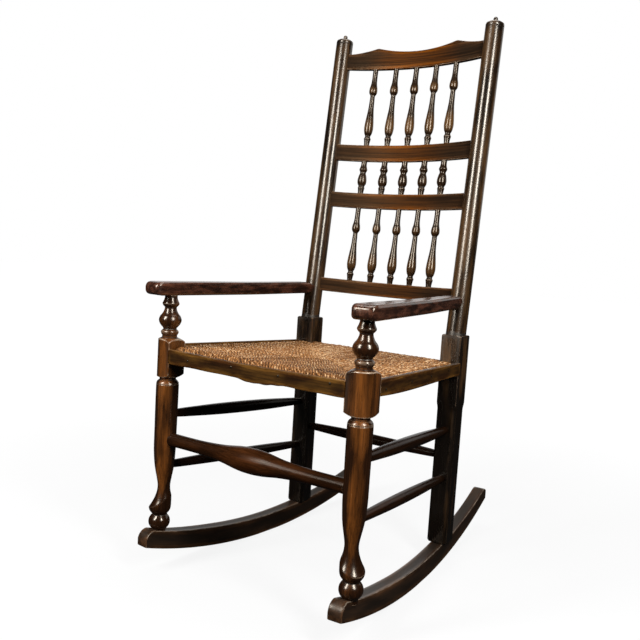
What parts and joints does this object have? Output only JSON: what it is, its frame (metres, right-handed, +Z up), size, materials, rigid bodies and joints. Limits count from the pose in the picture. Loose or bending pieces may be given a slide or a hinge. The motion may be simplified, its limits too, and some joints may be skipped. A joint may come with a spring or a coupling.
{
  "type": "rocking armchair",
  "caption": "Tall-backed wooden rocking armchair with turned spindles, bowed back rails, a woven rush seat, flat arms and long curved rockers.",
  "frame": {"origin": "on the floor, under the middle of the bounding box", "axes": "+X towards the left hand of a person who sits in the chair, +Y from the front of the seat to the back, +Z up"},
  "size_m": [0.491, 0.715, 1.1138],
  "materials": {
    "stained_wood": "satin",
    "amber_wood": "satin",
    "rush": "matte"
  },
  "bodies": {
    "root": {"rocker_left": "stained_wood", "front_leg_left": "stained_wood", "back_post_left": "stained_wood", "arm_left": "stained_wood", "edging_strip_left": "stained_wood", "upper_side_stretcher_left": "stained_wood", "lower_side_stretcher_left": "stained_wood", "seat_rail_left": "stained_wood", "rocker_right": "stained_wood", "front_leg_right": "stained_wood", "back_post_right": "stained_wood", "arm_right": "stained_wood", "edging_strip_right": "stained_wood", "upper_side_stretcher_right": "stained_wood", "lower_side_stretcher_right": "stained_wood", "seat_rail_right": "stained_wood", "edging_strip_front": "stained_wood", "front_stretcher": "stained_wood", "back_stretcher": "stained_wood", "seat_rail_front": "stained_wood", "seat_rail_back": "stained_wood", "crest_rail": "amber_wood", "upper_cross_rail": "amber_wood", "middle_cross_rail": "amber_wood", "lower_cross_rail": "amber_wood", "lower_spindle_1": "amber_wood", "lower_spindle_2": "amber_wood", "lower_spindle_3": "amber_wood", "lower_spindle_4": "amber_wood", "lower_spindle_5": "amber_wood", "middle_spindle_1": "amber_wood", "middle_spindle_2": "amber_wood", "middle_spindle_3": "amber_wood", "middle_spindle_4": "amber_wood", "middle_spindle_5": "amber_wood", "upper_spindle_1": "amber_wood", "upper_spindle_2": "amber_wood", "upper_spindle_3": "amber_wood", "upper_spindle_4": "amber_wood", "upper_spindle_5": "amber_wood", "rush_seat": "rush"}
  },
  "joints": []
}
